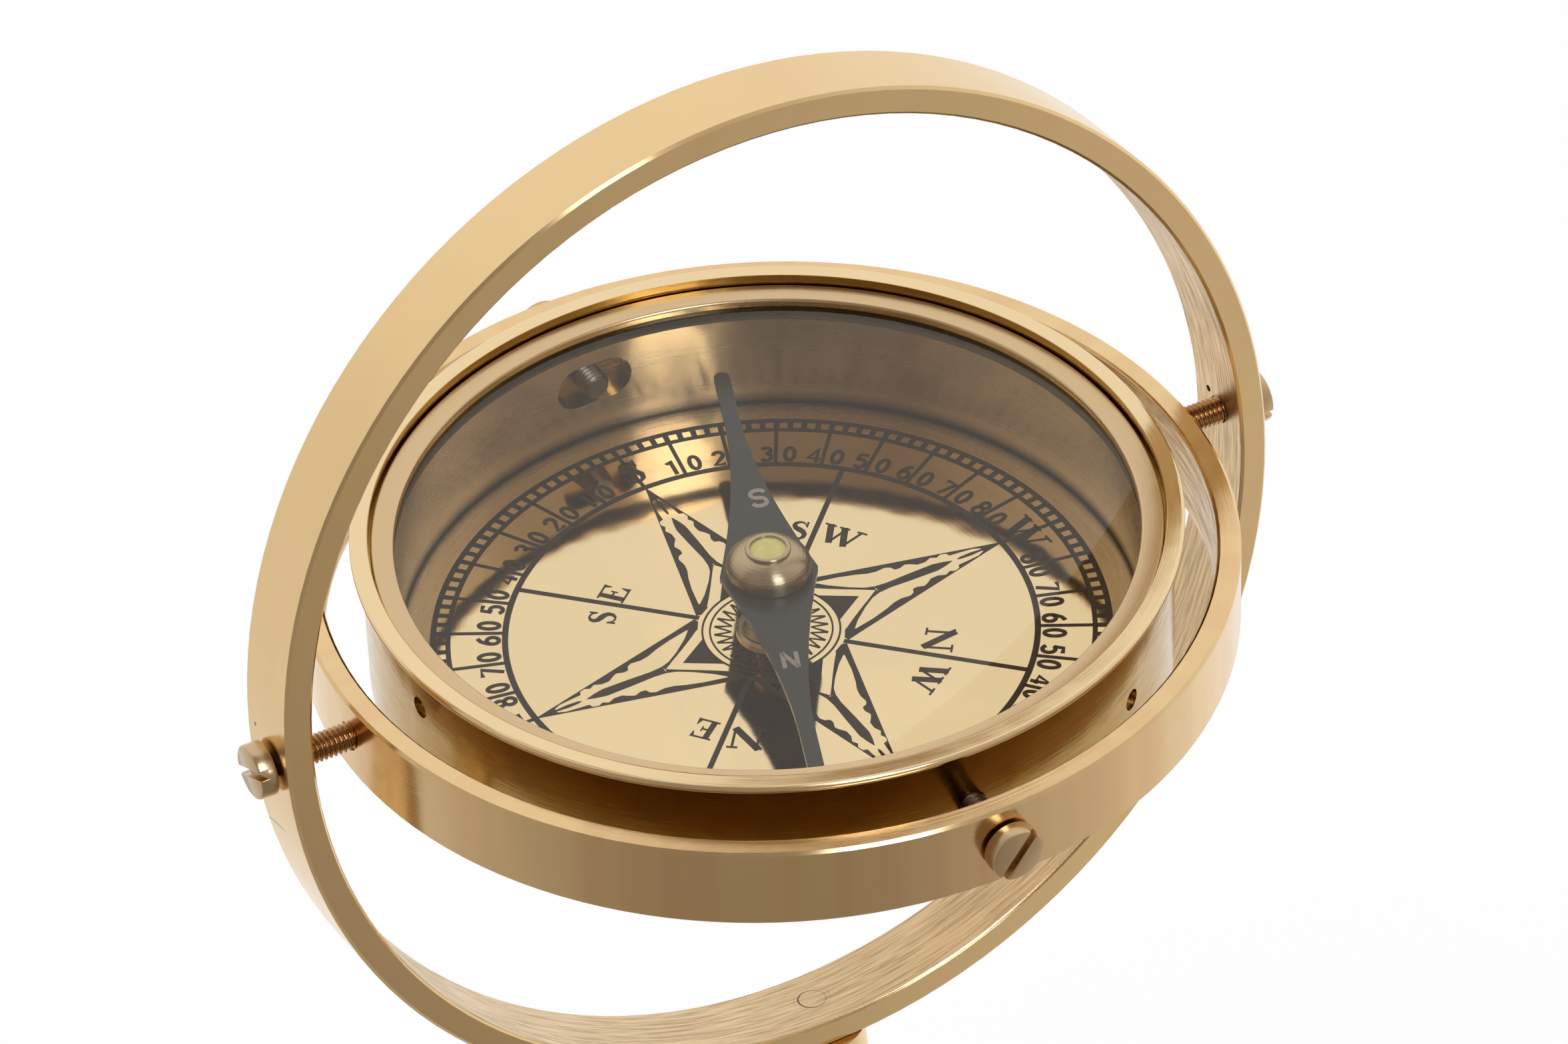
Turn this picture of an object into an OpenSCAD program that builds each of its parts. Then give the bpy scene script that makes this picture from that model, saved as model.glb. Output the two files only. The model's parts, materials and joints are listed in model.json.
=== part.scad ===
/* [Bowl] */
// Outside diameter of the bowl wall
case_od = 109.2; // [90:0.2:130]
// Thickness of the bowl wall
case_wall = 2.2; // [1.6:0.1:3]
// Thickness of the bowl floor
floor_t = 3; // [2.6:0.1:4]
// Height of the bowl rim above the pivot axes
rim_rise = 10.8; // [10.5:0.1:14]
// Depth of the dial face below the pivot axes
dial_drop = 9; // [8:0.1:14]
// How far the rolled lip stands out from the wall
lip_out = 1.4; // [0.8:0.1:2.5]
// Height of the rolled lip
lip_h = 1.2; // [1:0.1:3]
// Bevel round the bottom edge of the bowl
floor_bevel = 2; // [0.5:0.1:2.4]

/* [Glass and bezel] */
// Radial width of the bezel
bezel_w = 3.15; // [2.6:0.05:4]
// Radial width of the groove between bezel and lip
groove_w = 0.25; // [0.2:0.05:0.5]
// Thickness of the bezel
bezel_t = 1.4; // [1:0.1:1.6]
// How far the bezel sits below the rim
bezel_recess = 1.4; // [0.1:0.1:1.7]
// Thickness of the glass
glass_t = 2; // [1.5:0.1:2.4]
// Thickness of the gasket under the glass
gasket_t = 0.5; // [0.3:0.1:0.8]
// Wall of the sleeve that carries the glass
liner_wall = 2; // [1.5:0.1:2.5]
// Length of the clearance slots in the sleeve
slot_len = 11.6; // [8:0.2:16]
// Height of the clearance slots in the sleeve
slot_h = 6.6; // [5.2:0.2:8]
// Diameter of the three set screws in the bowl wall
set_screw_d = 3; // [2:0.5:4]
// How deep the set screws lie in their holes
set_screw_recess = 0.8; // [0.4:0.1:1]

/* [Dial] */
// Thickness of the dial plate
dial_t = 1; // [0.8:0.1:1.5]
// Thickness of the enamel on the dial
inlay_t = 0.06; // [0.04:0.01:0.1]
// Width of the bare margin outside the degree track
dial_margin = 3.85; // [2:0.05:6]
// Radial width of the degree track
track_w = 2.7; // [1.5:0.1:3.5]
// Radial width of the band that holds the numbers
number_w = 7.6; // [5:0.1:10]
// Radius of the star's inner corners
star_notch_r = 11; // [10:0.2:14]
// Width of the star's outline
star_line = 1; // [0.5:0.1:1.4]
// Width of the circles and the spokes
line_w = 0.7; // [0.4:0.1:1]
// Radius of the small circle round the post
sun_r = 9.2; // [7:0.1:9.6]

/* [Needle] */
// Gap between the needle's tips and the sleeve round the dial
needle_gap = 5.55; // [3:0.05:12]
// Width of the needle at its middle
needle_mid_w = 13.4; // [10:0.2:14]
// Length over which each end of the needle narrows
needle_taper = 33; // [24:0.5:33.5]
// Width of the needle near its tips
needle_tip_w = 2.2; // [1.6:0.1:3]
// Thickness of the needle
needle_t = 0.8; // [0.6:0.1:1.2]
// Height of the needle's underside above the pivot axes
needle_rise = 0.25; // [0:0.05:0.5]
// Direction of the needle's south end
needle_heading = 69.6; // [0:0.1:360]
// Diameter of the needle's cap
cap_d = 11.6; // [9:0.2:12]
// Height of the cap above the needle
cap_h = 4.3; // [3.8:0.1:4.4]
// Diameter of the rim round the jewel
cap_rim_d = 6.2; // [6:0.1:8]
// Diameter of the jewel
jewel_d = 5; // [3.7:0.1:5.4]
// Diameter of the flange of the pivot post
post_flange_d = 9.6; // [7:0.2:12]
// Diameter of the steel pivot pin
pin_d = 1.2; // [0.8:0.1:1.6]

/* [Gimbal] */
// Gap between the bowl wall and the middle ring
inner_gap = 5.7; // [4.5:0.1:8]
// Thickness of the middle ring
mid_wall = 3.2; // [2.5:0.1:4.5]
// Height of the middle ring
mid_h = 12; // [9:0.5:14]
// Gap between the middle ring and the outer ring
outer_gap = 7.5; // [5.5:0.1:10]
// Thickness of the outer ring
ring_wall = 4; // [3:0.1:5]
// Width of the outer ring
ring_w = 12; // [9:0.5:14]
// Swing of the middle ring about the side pivots, as it rests
rest_swing = 6.2; // [-30:0.1:30]
// Small bevel on the edges of both rings
edge_bevel = 0.4; // [0.2:0.1:0.8]

/* [Pivot screws] */
// Thread diameter of the pivot screws
screw_d = 4; // [3:0.5:5]
// Diameter of the screw heads
head_d = 7.6; // [6.5:0.1:9]
// Height of the screw heads
head_h = 2.6; // [1.8:0.1:3.5]
// Width of the screwdriver slots
head_slot_w = 1.2; // [0.8:0.1:1.6]
// Depth of the screwdriver slots
head_slot_t = 1.3; // [0.8:0.1:1.5]
// Gap between each screw head and its ring
head_gap = 0.4; // [0.2:0.1:0.8]
// Gap behind the head of the right-hand screw, which is driven home
right_head_gap = 0.1; // [0.1:0.1:0.8]
// How far the inner pivot screws stand into the bowl
tip_in = 1.4; // [0.8:0.1:2]

/* [Stand] */
// Diameter of the foot
foot_d = 110; // [90:1:130]
// Height of the foot's upright edge
foot_edge_h = 4; // [3:0.5:6]
// Height of the foot
foot_h = 22; // [18:0.5:30]
// Height of the turned stem
stem_h = 38; // [30:1:60]
// Diameter of the stem's bulb
bulb_d = 21; // [17:0.5:26]
// Diameter of the stem's necks
neck_d = 10.5; // [9:0.5:13]
// Diameter of the seat under the outer ring
seat_d = 14.4; // [12:0.2:18]
// Height of the seat under the outer ring
seat_h = 4; // [3:0.5:6]
// Diameter of the stud that holds the outer ring
stud_d = 5.2; // [4:0.1:6]
// Diameter of the screw that holds the stem to the foot
foot_screw_d = 6; // [5:0.5:6.5]
// Thickness of the felt pad
felt_t = 2; // [1.5:0.1:3]
// How far the felt stands below the foot
felt_proud = 1; // [0.5:0.1:1.4]
// Width of the foot's rim round the felt
felt_rim = 3; // [2:0.5:6]

/* [Hidden] */
$fn = 96;

// Fits and allowances
pivot_clear = 0.05;
slip_fit = 0.05;
thread_fit = 0.02;
seat_clear = 0.05;
cut = 1;
bezel_seat = 0.85;
lip_flat = 0.1;

// Radii of the rings, built outwards from the bowl
case_r = case_od / 2;
case_in_r = case_r - case_wall;
lip_r = case_r + lip_out;
liner_out_r = case_in_r - slip_fit;
liner_in_r = liner_out_r - liner_wall;
mid_in_r = case_r + inner_gap;
mid_out_r = mid_in_r + mid_wall;
ring_in_r = mid_out_r + outer_gap;
ring_out_r = ring_in_r + ring_wall;

// Heights inside the bowl, from the pivot axes
dial_z = -dial_drop;
floor_top_z = dial_z - dial_t;
floor_z = floor_top_z - floor_t;
bezel_top_z = rim_rise - bezel_recess;
glass_top_z = bezel_top_z - bezel_t;
gasket_top_z = glass_top_z - glass_t;
liner_top_z = gasket_top_z - gasket_t;
bezel_out_r = case_in_r + bezel_seat;
bezel_in_r = bezel_out_r - bezel_w;
lip_in_r = bezel_out_r + groove_w;

// The dial, post and needle
post_shank_d = 5;
post_nut_af = 8;
post_nut_t = 2;
nut_room = 0.3;
post_flange_h = 0.8;
post_top_r = 1.7;
post_top_gap = 1.8;
post_top_z = needle_rise - post_top_gap;
pin_seat = 2.5;
bore_clear = 1;
spigot_wall = 0.9;
needle_top_z = needle_rise + needle_t;
cap_top_z = needle_top_z + cap_h;
cap_skirt_h = 1.25;
cap_bore_r = pin_d / 2 + bore_clear;
cap_spigot_r = cap_bore_r + spigot_wall;
jewel_t = 1.2;
jewel_sunk = 0.35;
jewel_top_z = cap_top_z - jewel_sunk;
jewel_z = jewel_top_z - jewel_t;
cup_depth = 0.5;
pin_gap = 0.15;
pin_tip_z = jewel_z + cup_depth - pin_gap;
pin_point_h = 2;

// Radii on the card
track_r = liner_in_r - dial_margin;
star_r = track_r - track_w - number_w;
needle_reach = liner_in_r - needle_gap;
needle_curve = 1.7;
spoke_step = 10;
track_step = 2.5;
track_edge = 0.7;
track_tick = 0.75;
fork_reach = 5.2;
fork_x = star_notch_r + fork_reach;
fork_w = 0.8;
rib_w = 1.5;
wedge_reach = 4.1;
wedge_x = sun_r + wedge_reach;
wedge_w = 6;

// Set screws in the bowl wall: where each stands round the wall, and its height above the pivots
back_set_angle = 62;
back_set_z = 1.4;
left_set_angle = 183.8;
left_set_z = 3.6;
right_set_angle = 302.2;
right_set_z = -0.9;

// Heights of the stand, from the table up
foot_z = felt_proud;
foot_top_z = foot_h;
stem_top_z = foot_top_z + stem_h;
seat_top_z = stem_top_z + seat_h;
axis_z = seat_top_z + ring_out_r;
felt_r = foot_d / 2 - felt_rim;
low_neck_rise = 7.6;
bulb_rise = 16.8;
high_neck_drop = 6;
low_neck_z = foot_top_z + low_neck_rise;
bulb_z = foot_top_z + bulb_rise;
high_neck_z = stem_top_z - high_neck_drop;

// Joint between foot and stem, and between stem and outer ring
pocket_r = 17;
pocket_h = 7;
pocket_top_z = felt_t + pocket_h;
washer_t = 1.2;
washer_lap = 4;
washer_r = foot_screw_d / 2 + washer_lap;
foot_head_lap = 2.1;
foot_head_r = foot_screw_d / 2 + foot_head_lap;
foot_head_h = 3;
foot_hold = 12;
stud_hold = 14;
hole_room = 0.5;
bolt_clear = 0.2;
flange_lap = 1.5;
stem_flange_r = bulb_d / 2 + flange_lap;

// The pivot screws as they were left by the screwdriver
tip_back = 0.2;
left_slot_angle = 20;
right_slot_angle = 20;
front_slot_angle = 52;
back_slot_angle = 35;

// Blind pilot hole beside the right-hand screw, in the inner face of the outer ring
pilot_hole_d = 1;
pilot_hole_t = 1.2;
pilot_hole_y = 2.4;
pilot_hole_z = 2.2;

brass = [0.86, 0.68, 0.42];
satin_brass = [0.74, 0.6, 0.38];
dark_brass = [0.6, 0.42, 0.22];
ink = [0.3, 0.27, 0.25];
steel = [0.36, 0.36, 0.35];

// Points on a circular arc in the profile plane
function arc(cx, cy, r, a0, a1, n) = [for (i = [0:n]) let (a = a0 + (a1 - a0) * i / n)
    [cx + r * cos(a), cy + r * sin(a)]];
// Points on an S-shaped run between two radii, level at both ends
function ogee(r0, z0, r1, z1, n) = [for (i = [0:n]) let (t = i / n)
    [r0 + (r1 - r0) * t, z0 + (z1 - z0) * t * t * (3 - 2 * t)]];
// Points on a half wave between two radii, upright at both ends
function swell(r0, z0, r1, z1, n) = [for (i = [0:n]) let (t = i / n)
    [r0 + (r1 - r0) * (1 - cos(180 * t)) / 2, z0 + (z1 - z0) * t]];

// All points but the first, for a run that carries on from another
function onward(points) = [for (i = [1:len(points) - 1]) points[i]];
function mirrored(points, sx, sy) = [for (p = points) [p[0] * sx, p[1] * sy]];
function backwards(points) = [for (i = [len(points) - 1:-1:0]) points[i]];

module in_gimbal() {
    translate([0, 0, axis_z]) children();
}

module in_middle_ring() {
    in_gimbal() rotate([rest_swing, 0, 0]) children();
}

// Flat-sided hoop about Z with bevelled edges
module hoop(r_in, r_out, h) {
    b = edge_bevel;
    rotate_extrude($fn = 180) polygon([
        [r_in + b, -h / 2], [r_out - b, -h / 2], [r_out, -h / 2 + b], [r_out, h / 2 - b],
        [r_out - b, h / 2], [r_in + b, h / 2], [r_in, h / 2 - b], [r_in, -h / 2 + b]]);
}

// Slotted cheese-head screw along +X, its tip at x = tip_x and its head beyond x = seat_x + gap
module pivot_screw(tip_x, seat_x, slot_angle, gap = head_gap) {
    point = screw_d / 8;
    head_bevel = head_h / 8;
    head_x = seat_x + gap;
    rotate([slot_angle, 0, 0]) difference() {
        rotate([0, 90, 0]) rotate_extrude($fn = 64) polygon([
            [0, tip_x], [screw_d / 2 - point, tip_x], [screw_d / 2, tip_x + point],
            [screw_d / 2, head_x], [head_d / 2, head_x], [head_d / 2, head_x + head_h - head_bevel],
            [head_d / 2 - head_bevel, head_x + head_h], [0, head_x + head_h]]);
        translate([head_x + head_h - head_slot_t, -head_d, -head_slot_w / 2])
            cube([head_slot_t + cut, 2 * head_d, head_slot_w]);
    }
}

module cross_hole(r, reach) {
    rotate([0, 90, 0]) cylinder(r = r, h = 2 * reach, center = true, $fn = 64);
}

module felt_pad() {
    color([0.12, 0.2, 0.14]) cylinder(r = felt_r - seat_clear, h = felt_t);
}

// Turned foot with an ogee top, recessed below for the felt and the screw head
module foot() {
    foot_r = foot_d / 2;
    edge_r = 1;
    step = 2;
    rise = 0.6;
    bead_r = 1.6;
    outline = concat(
        [[0, foot_z], [foot_r, foot_z]],
        arc(foot_r - edge_r, foot_z + foot_edge_h - edge_r, edge_r, 0, 90, 4),
        [[foot_r - step, foot_z + foot_edge_h]],
        ogee(foot_r - step, foot_z + foot_edge_h + rise, stem_flange_r + bead_r, foot_top_z - 3 * bead_r, 14),
        arc(stem_flange_r, foot_top_z - 2 * bead_r, bead_r, -60, 90, 8),
        [[stem_flange_r, foot_top_z], [0, foot_top_z]]);
    color(brass) difference() {
        rotate_extrude() polygon(outline);
        translate([0, 0, foot_z - cut]) cylinder(r = felt_r, h = felt_t - foot_z + cut);
        translate([0, 0, foot_z - cut]) cylinder(r = pocket_r, h = pocket_top_z - foot_z + cut);
        cylinder(r = foot_screw_d / 2 + bolt_clear, h = foot_top_z + cut);
    }
}

module foot_washer() {
    color("silver") translate([0, 0, pocket_top_z - washer_t]) difference() {
        cylinder(r = washer_r, h = washer_t);
        translate([0, 0, -cut]) cylinder(r = foot_screw_d / 2 + bolt_clear, h = washer_t + 2 * cut);
    }
}

// Slotted screw that holds the stem to the foot from below
module foot_screw() {
    under_z = pocket_top_z - washer_t;
    head_z = under_z - foot_head_h;
    color("silver") difference() {
        rotate_extrude() polygon([
            [0, head_z], [foot_head_r, head_z], [foot_head_r, under_z], [foot_screw_d / 2, under_z],
            [foot_screw_d / 2, foot_top_z + foot_hold], [0, foot_top_z + foot_hold]]);
        translate([-foot_head_r - cut, -head_slot_w / 2, head_z - cut])
            cube([2 * foot_head_r + 2 * cut, head_slot_w, head_slot_t + cut]);
    }
}

// Turned stem: flange, lower neck, bulb, upper neck and flare
module stem() {
    neck_r = neck_d / 2;
    bulb_r = bulb_d / 2;
    flange_h = 1.8;
    flange_bevel = 0.4;
    seat_edge = 1;
    flange_step = 1;
    outline = concat(
        [[0, foot_top_z], [stem_flange_r - flange_bevel, foot_top_z],
            [stem_flange_r, foot_top_z + flange_bevel],
            [stem_flange_r, foot_top_z + flange_h]],
        swell(stem_flange_r - flange_step, foot_top_z + flange_h, neck_r, low_neck_z, 8),
        onward(swell(neck_r, low_neck_z, bulb_r, bulb_z, 8)),
        onward(swell(bulb_r, bulb_z, neck_r, high_neck_z, 12)),
        onward(swell(neck_r, high_neck_z, seat_d / 2, stem_top_z - seat_edge, 6)),
        [[seat_d / 2, stem_top_z], [0, stem_top_z]]);
    color(brass) difference() {
        rotate_extrude() polygon(outline);
        translate([0, 0, foot_top_z - cut])
            cylinder(r = foot_screw_d / 2 + thread_fit, h = foot_hold + hole_room + cut);
        translate([0, 0, stem_top_z - stud_hold - hole_room])
            cylinder(r = stud_d / 2 + thread_fit, h = stud_hold + hole_room + cut);
    }
}

// Collar between stem and outer ring, its top hollowed to the ring
module ring_seat() {
    color(brass) difference() {
        translate([0, 0, stem_top_z]) cylinder(r = seat_d / 2, h = seat_h + cut);
        in_gimbal() rotate([90, 0, 0])
            cylinder(r = ring_out_r + seat_clear, h = 2 * ring_w, center = true, $fn = 180);
        translate([0, 0, stem_top_z - cut]) cylinder(r = stud_d / 2 + thread_fit, h = seat_h + 3 * cut);
    }
}

// Stud through the seat and the outer ring, filed flush with the inside of the ring
module ring_stud() {
    low_z = stem_top_z - stud_hold;
    color(satin_brass) difference() {
        translate([0, 0, low_z]) cylinder(r = stud_d / 2, h = seat_top_z + ring_wall + cut - low_z);
        in_gimbal() rotate([90, 0, 0])
            cylinder(r = ring_in_r, h = 2 * ring_w, center = true, $fn = 180);
    }
}

module outer_ring() {
    color(brass) difference() {
        in_gimbal() rotate([90, 0, 0]) hoop(ring_in_r, ring_out_r, ring_w);
        in_gimbal() cross_hole(screw_d / 2 + thread_fit, ring_out_r + cut);
        translate([0, 0, seat_top_z - cut])
            cylinder(r = stud_d / 2 + thread_fit, h = ring_wall + 2 * cut);
        in_gimbal() translate([ring_in_r - 1, pilot_hole_y, pilot_hole_z]) rotate([0, 90, 0])
            cylinder(d = pilot_hole_d, h = 1 + pilot_hole_t, $fn = 24);
    }
}

module outer_pivot_screw_right() {
    color(satin_brass) in_gimbal()
        pivot_screw(mid_in_r + tip_back, ring_out_r, right_slot_angle, right_head_gap);
}

module outer_pivot_screw_left() {
    color(satin_brass) in_gimbal() rotate([0, 0, 180])
        pivot_screw(mid_in_r + tip_back, ring_out_r, left_slot_angle);
}

// Middle ring: running holes for the side pivots, threaded holes for the inner pivots
module middle_ring() {
    color(satin_brass) in_middle_ring() difference() {
        hoop(mid_in_r, mid_out_r, mid_h);
        cross_hole(screw_d / 2 + pivot_clear, mid_out_r + cut);
        rotate([0, 0, 90]) cross_hole(screw_d / 2 + thread_fit, mid_out_r + cut);
    }
}

module inner_pivot_screw_front() {
    color(satin_brass) in_middle_ring() rotate([0, 0, -90])
        pivot_screw(liner_in_r - tip_in, mid_out_r, front_slot_angle);
}

module inner_pivot_screw_back() {
    color(satin_brass) in_middle_ring() rotate([0, 0, 90])
        pivot_screw(liner_in_r - tip_in, mid_out_r, back_slot_angle);
}

// Places the set screws round the bowl wall, each pointing outwards
module round_the_wall() {
    rotate([0, 0, back_set_angle]) translate([0, 0, back_set_z]) rotate([0, 90, 0]) children();
    rotate([0, 0, left_set_angle]) translate([0, 0, left_set_z]) rotate([0, 90, 0]) children();
    rotate([0, 0, right_set_angle]) translate([0, 0, right_set_z]) rotate([0, 90, 0]) children();
}

// Turned cup with a rolled lip, a shoulder for the bezel and a bevelled floor
module bowl_case() {
    lip_round = min(lip_out, lip_h / 2) - lip_flat;
    lip_z = rim_rise - lip_h;
    outline = concat(
        [[0, floor_z], [case_r - floor_bevel, floor_z], [case_r, floor_z + floor_bevel],
            [case_r, lip_z], [lip_r - lip_round, lip_z]],
        arc(lip_r - lip_round, lip_z + lip_round, lip_round, -90, 0, 5),
        arc(lip_r - lip_round, rim_rise - lip_round, lip_round, 0, 90, 6),
        [[lip_in_r, rim_rise], [lip_in_r, glass_top_z], [case_in_r, glass_top_z],
            [case_in_r, floor_top_z], [0, floor_top_z]]);
    color(dark_brass) in_middle_ring() difference() {
        rotate_extrude($fn = 180) polygon(outline);
        rotate([0, 0, 90]) cross_hole(screw_d / 2 + pivot_clear, case_r + cut);
        round_the_wall() translate([0, 0, case_in_r - cut])
            cylinder(r = set_screw_d / 2 + thread_fit, h = case_wall + 2 * cut, $fn = 32);
        translate([0, 0, floor_z - cut]) cylinder(r = post_shank_d / 2 + slip_fit, h = floor_t + 2 * cut);
        translate([0, 0, floor_z - cut])
            cylinder(r = post_nut_af / 2 / cos(30) + nut_room, h = post_nut_t + cut);
    }
}

module case_set_screws() {
    color(dark_brass) in_middle_ring() round_the_wall() translate([0, 0, case_in_r])
        cylinder(r = set_screw_d / 2, h = case_wall - set_screw_recess, $fn = 32);
}

// Sleeve between dial and glass, with a slot round each inner pivot
module bowl_liner() {
    color(satin_brass) in_middle_ring() difference() {
        translate([0, 0, dial_z]) difference() {
            cylinder(r = liner_out_r, h = liner_top_z - dial_z, $fn = 180);
            translate([0, 0, -cut]) cylinder(r = liner_in_r, h = liner_top_z - dial_z + 2 * cut, $fn = 180);
        }
        rotate([90, 0, 0]) linear_extrude(height = 2 * case_r, center = true) union() {
            square([slot_len - slot_h, slot_h], center = true);
            for (side = [-1, 1]) translate([side * (slot_len - slot_h) / 2, 0]) circle(d = slot_h, $fn = 48);
        }
    }
}

module dial_plate() {
    color(brass) in_middle_ring() translate([0, 0, floor_top_z]) difference() {
        cylinder(r = liner_out_r, h = dial_t, $fn = 180);
        translate([0, 0, -cut]) cylinder(r = post_shank_d / 2 + slip_fit, h = dial_t + 2 * cut);
    }
}

module band(r_out, width) {
    difference() {
        circle(r = r_out, $fn = 180);
        circle(r = r_out - width, $fn = 180);
    }
}

// One arm of the star along +X: outline, rib that swells and forks, and wedge on the small circle
module star_arm() {
    notch = star_notch_r * cos(45);
    half_angle = atan2(notch, star_r - notch);
    inner_tip = star_r - star_line / sin(half_angle);
    inner_notch = notch - star_line / cos(half_angle);
    rib_mid = (fork_x * 2 + inner_tip) / 3;
    difference() {
        polygon([[star_r, 0], [notch, notch], [0, 0], [notch, -notch]]);
        polygon([[inner_tip, 0], [notch, inner_notch], [0, 0], [notch, -inner_notch]]);
        circle(r = sun_r);
    }
    polygon([[inner_tip + line_w, line_w / 4], [rib_mid, rib_w / 2], [fork_x - fork_w, line_w / 2],
        [fork_x - fork_w, -line_w / 2], [rib_mid, -rib_w / 2], [inner_tip + line_w, -line_w / 4]]);
    polygon([[fork_x, 0], [notch, inner_notch + line_w / 4], [notch - fork_w, inner_notch],
        [fork_x - 2 * fork_w, 0], [notch - fork_w, -inner_notch], [notch, -inner_notch - line_w / 4]]);
    polygon([[wedge_x, 0], [sun_r - line_w / 4, wedge_w / 2], [sun_r - line_w / 4, -wedge_w / 2]]);
}

// Dark enamel of the card: degree track, spokes, bounding circle, star and small circle
module dial_inlay() {
    color(ink) in_middle_ring() translate([0, 0, dial_z]) linear_extrude(height = inlay_t) {
        difference() {
            band(track_r, track_w);
            for (a = [track_step / 2:track_step:360]) rotate([0, 0, a])
                translate([track_r - track_w / 2, 0])
                    square([track_w - 2 * track_edge, track_r * track_step * PI / 180 - track_tick],
                        center = true);
        }
        band(star_r + line_w / 2, line_w);
        for (a = [0:spoke_step:359]) rotate([0, 0, a]) translate([star_r, -line_w / 2])
            square([number_w + track_edge / 2, line_w]);
        for (a = [0:90:270]) rotate([0, 0, a]) star_arm();
        for (a = [45:90:315]) rotate([0, 0, a]) translate([star_notch_r - star_line, -line_w / 2])
            square([star_r - star_notch_r + star_line, line_w]);
        band(sun_r + line_w / 2, line_w);
    }
}

// Turned post that carries the pin: flange on the dial, cone above, shank through the floor
module pivot_post() {
    flange_r = post_flange_d / 2;
    flange_z = dial_z + post_flange_h;
    flange_bevel = 0.4;
    cone_r = flange_r - 2 * flange_bevel;
    cone_curve = 2.2;
    steps = 7;
    outline = concat(
        [[0, floor_z], [post_shank_d / 2, floor_z], [post_shank_d / 2, dial_z], [flange_r, dial_z],
            [flange_r, flange_z - flange_bevel], [flange_r - flange_bevel, flange_z]],
        [for (i = [0:steps]) let (t = i / steps) [post_top_r + (cone_r - post_top_r) * pow(1 - t, cone_curve),
            flange_z + (post_top_z - flange_z) * t]],
        [[0, post_top_z]]);
    color(brass) in_middle_ring() difference() {
        rotate_extrude() polygon(outline);
        translate([0, 0, post_top_z - pin_seat]) cylinder(r = pin_d / 2 + thread_fit, h = pin_seat + cut);
    }
}

module post_nut() {
    color(satin_brass) in_middle_ring() translate([0, 0, floor_z]) difference() {
        cylinder(d = post_nut_af / cos(30), h = post_nut_t, $fn = 6);
        translate([0, 0, -cut]) cylinder(r = post_shank_d / 2 + thread_fit, h = post_nut_t + 2 * cut);
    }
}

module pivot_pin() {
    base_z = post_top_z - pin_seat;
    color(steel) in_middle_ring() rotate_extrude($fn = 32) polygon([
        [0, base_z], [pin_d / 2, base_z], [pin_d / 2, pin_tip_z - pin_point_h], [0, pin_tip_z]]);
}

module glass_gasket() {
    color([0.25, 0.18, 0.1]) in_middle_ring() translate([0, 0, liner_top_z]) difference() {
        cylinder(r = liner_out_r, h = gasket_t, $fn = 180);
        translate([0, 0, -cut]) cylinder(r = liner_in_r, h = gasket_t + 2 * cut, $fn = 180);
    }
}

module glass() {
    color([0.8, 0.85, 0.83, 0.35]) in_middle_ring() translate([0, 0, gasket_top_z])
        cylinder(r = liner_out_r, h = glass_t, $fn = 180);
}

// Retaining ring with a softened inner edge, pressed down on the glass
module bezel() {
    soft = 0.5;
    color(brass) in_middle_ring() rotate_extrude($fn = 180) polygon(concat(
        [[bezel_in_r, glass_top_z], [bezel_out_r, glass_top_z], [bezel_out_r, bezel_top_z - soft / 2],
            [bezel_out_r - soft / 2, bezel_top_z]],
        arc(bezel_in_r + soft, bezel_top_z - soft, soft, 90, 180, 4)));
}

// One end of the needle's outline along +X, from its middle round the tip and back
function needle_end() = let (
        mid = needle_mid_w / 2,
        tip = needle_tip_w / 2,
        steps = 9,
        flank = [for (i = [0:steps]) [needle_taper * i / steps,
            tip + (mid - tip) * pow(1 - i / steps, needle_curve)]])
    concat(flank, arc(needle_reach - tip, 0, tip, 90, -90, 12), backwards(mirrored(flank, 1, -1)));

module needle_outline() {
    half = needle_end();
    polygon(concat(half, [for (i = [1:len(half) - 2]) -half[i]]));
}

module on_needle() {
    in_middle_ring() rotate([0, 0, needle_heading]) children();
}

module needle() {
    color(steel) on_needle() translate([0, 0, needle_rise]) linear_extrude(height = needle_t) difference() {
        needle_outline();
        circle(r = cap_spigot_r + thread_fit, $fn = 48);
    }
}

// Domed cap: spigot through the needle, skirt, dome and a rim round the jewel
module needle_cap() {
    cap_r = cap_d / 2;
    rim_r = cap_rim_d / 2;
    rim_h = 0.5;
    edge = 0.2;
    dome_turn = 75;
    skirt_z = needle_top_z + cap_skirt_h;
    dome_z = cap_top_z - rim_h;
    steps = 8;
    outline = concat(
        [[0, needle_rise], [cap_spigot_r, needle_rise], [cap_spigot_r, needle_top_z],
            [cap_r - edge, needle_top_z], [cap_r, needle_top_z + edge], [cap_r, skirt_z]],
        [for (i = [1:steps]) let (a = dome_turn * i / steps)
            [rim_r + (cap_r - rim_r) * (cos(a) - cos(dome_turn)) / (1 - cos(dome_turn)),
                skirt_z + (dome_z - skirt_z) * sin(a) / sin(dome_turn)]],
        [[rim_r, cap_top_z - edge / 2], [rim_r - edge / 2, cap_top_z], [0, cap_top_z]]);
    color(satin_brass) on_needle() difference() {
        rotate_extrude() polygon(outline);
        translate([0, 0, needle_rise - cut]) cylinder(r = cap_bore_r, h = jewel_z - needle_rise + 2 * cut);
        translate([0, 0, jewel_z]) cylinder(d = jewel_d + 2 * thread_fit, h = jewel_t + cut);
    }
}

// Jewel with a conical cup for the pin's point
module cap_jewel() {
    color([0.8, 0.8, 0.47]) on_needle() difference() {
        translate([0, 0, jewel_z]) cylinder(d = jewel_d, h = jewel_t);
        translate([0, 0, jewel_z - cut]) cylinder(r1 = cup_depth + cut, r2 = 0, h = cup_depth + cut);
    }
}

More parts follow.
